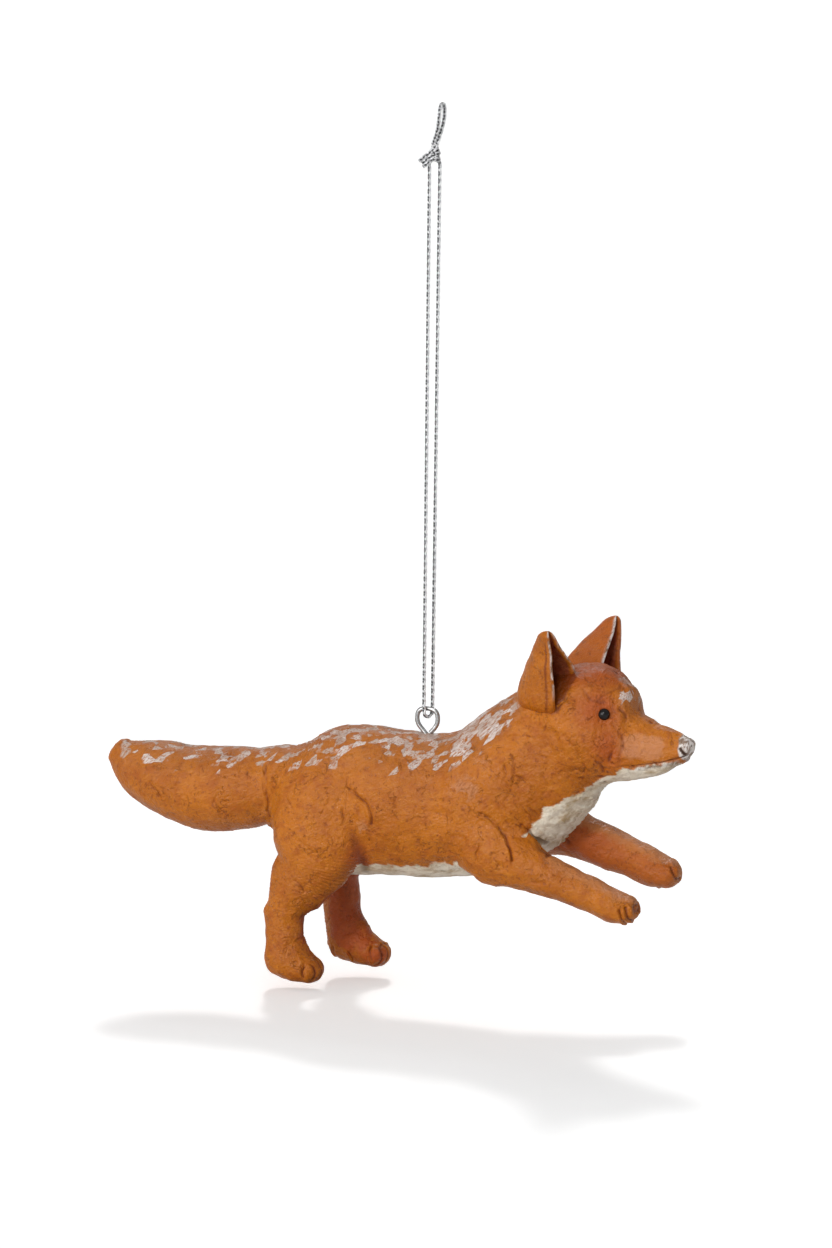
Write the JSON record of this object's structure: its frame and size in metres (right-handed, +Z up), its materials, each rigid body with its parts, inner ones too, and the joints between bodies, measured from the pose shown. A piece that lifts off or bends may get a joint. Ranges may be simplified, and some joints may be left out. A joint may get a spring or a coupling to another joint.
{
  "type": "hanging animal ornament",
  "caption": "Leaping fox ornament that hangs level from a screw eye in its back on a knotted metallic cord loop, with pricked ears, bead eyes and a brush tail.",
  "frame": {"origin": "where a hook or twig bears inside the cord's small top loop", "axes": "+Z up, +X from tail to nose along the fox's length, +Y towards the fox's left side"},
  "size_m": [0.1305, 0.0289, 0.1825],
  "materials": {
    "painted_resin": "satin, hand-brushed",
    "black_glass": "glossy",
    "steel_wire": "nickel bright",
    "silver_cord": "braided metallic thread"
  },
  "bodies": {
    "loop": {"cord_loop": "silver_cord"},
    "knot": {"cord_knot": "silver_cord"},
    "strands": {"cord_strands": "silver_cord"},
    "fox": {"torso": "painted_resin", "head": "painted_resin", "tail": "painted_resin", "ear_right": "painted_resin", "ear_left": "painted_resin", "foreleg_right": "painted_resin", "foreleg_left": "painted_resin", "hindleg_right": "painted_resin", "hindleg_left": "painted_resin", "eye_bead_right": "black_glass", "eye_bead_left": "black_glass", "screw_eye": "steel_wire"}
  },
  "joints": [
    {"name": "cord_twist", "type": "hinge", "parent": "loop", "child": "knot", "pos_m": [-0.0015, 0, -0.00815], "axis": [0, 0, 1], "range_deg": [-180, 180]},
    {"name": "cord_swing", "type": "hinge", "parent": "knot", "child": "strands", "pos_m": [-0.0015, 0, -0.0106], "axis": [0, 1, 0], "range_deg": [-45, 45]},
    {"name": "fox_rock", "type": "hinge", "parent": "strands", "child": "fox", "pos_m": [-0.0015, 0, -0.1245], "axis": [1, 0, 0], "range_deg": [-45, 45]}
  ]
}
